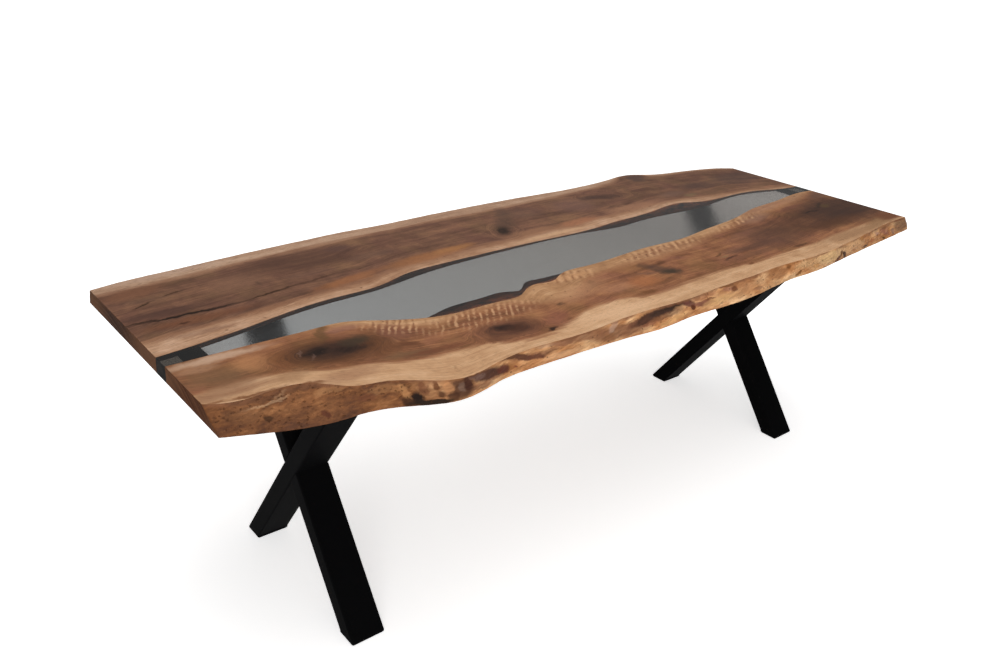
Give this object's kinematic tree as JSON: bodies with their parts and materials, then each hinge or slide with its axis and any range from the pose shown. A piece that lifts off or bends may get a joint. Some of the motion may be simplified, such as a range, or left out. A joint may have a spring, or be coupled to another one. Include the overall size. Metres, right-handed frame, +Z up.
{
  "type": "live edge river dining table",
  "caption": "Long dining table with a waney-edged walnut top, a smoke-grey resin river down its middle and two black steel X frames.",
  "frame": {"origin": "on the floor, under the middle of the top's outline", "axes": "+X along the table towards its right-hand end, +Y towards the back edge, +Z up"},
  "size_m": [2.374, 0.9809, 0.76],
  "materials": {
    "front_slab": "clear satin over walnut heartwood and sapwood",
    "back_slab": "clear satin over walnut heartwood and sapwood",
    "river_resin": "polished translucent smoke-grey epoxy",
    "frame_powder_coat": "satin black powder coat",
    "channel_steel": "black powder coat",
    "bolt_black_oxide": "black oxide",
    "washer_zinc": "zinc plated",
    "insert_zinc": "zinc alloy",
    "foot_rubber": "matt black"
  },
  "bodies": {
    "root": {"back_slab": "back_slab", "front_slab": "front_slab", "left_back_foot_pad": "foot_rubber", "left_back_foot_plate": "frame_powder_coat", "left_back_mount_plate": "frame_powder_coat", "left_channel_bolts": "bolt_black_oxide", "left_channel_inserts": "insert_zinc", "left_channel_washers": "washer_zinc", "left_end_channel": "channel_steel", "left_frame_bolts": "bolt_black_oxide", "left_frame_inserts": "insert_zinc", "left_frame_lower_leg": "frame_powder_coat", "left_frame_through_leg": "frame_powder_coat", "left_frame_upper_leg": "frame_powder_coat", "left_frame_washers": "washer_zinc", "left_front_foot_pad": "foot_rubber", "left_front_foot_plate": "frame_powder_coat", "left_front_mount_plate": "frame_powder_coat", "right_back_foot_pad": "foot_rubber", "right_back_foot_plate": "frame_powder_coat", "right_back_mount_plate": "frame_powder_coat", "right_channel_bolts": "bolt_black_oxide", "right_channel_inserts": "insert_zinc", "right_channel_washers": "washer_zinc", "right_end_channel": "channel_steel", "right_frame_bolts": "bolt_black_oxide", "right_frame_inserts": "insert_zinc", "right_frame_lower_leg": "frame_powder_coat", "right_frame_through_leg": "frame_powder_coat", "right_frame_upper_leg": "frame_powder_coat", "right_frame_washers": "washer_zinc", "right_front_foot_pad": "foot_rubber", "right_front_foot_plate": "frame_powder_coat", "right_front_mount_plate": "frame_powder_coat", "river_resin": "river_resin"}
  },
  "joints": []
}
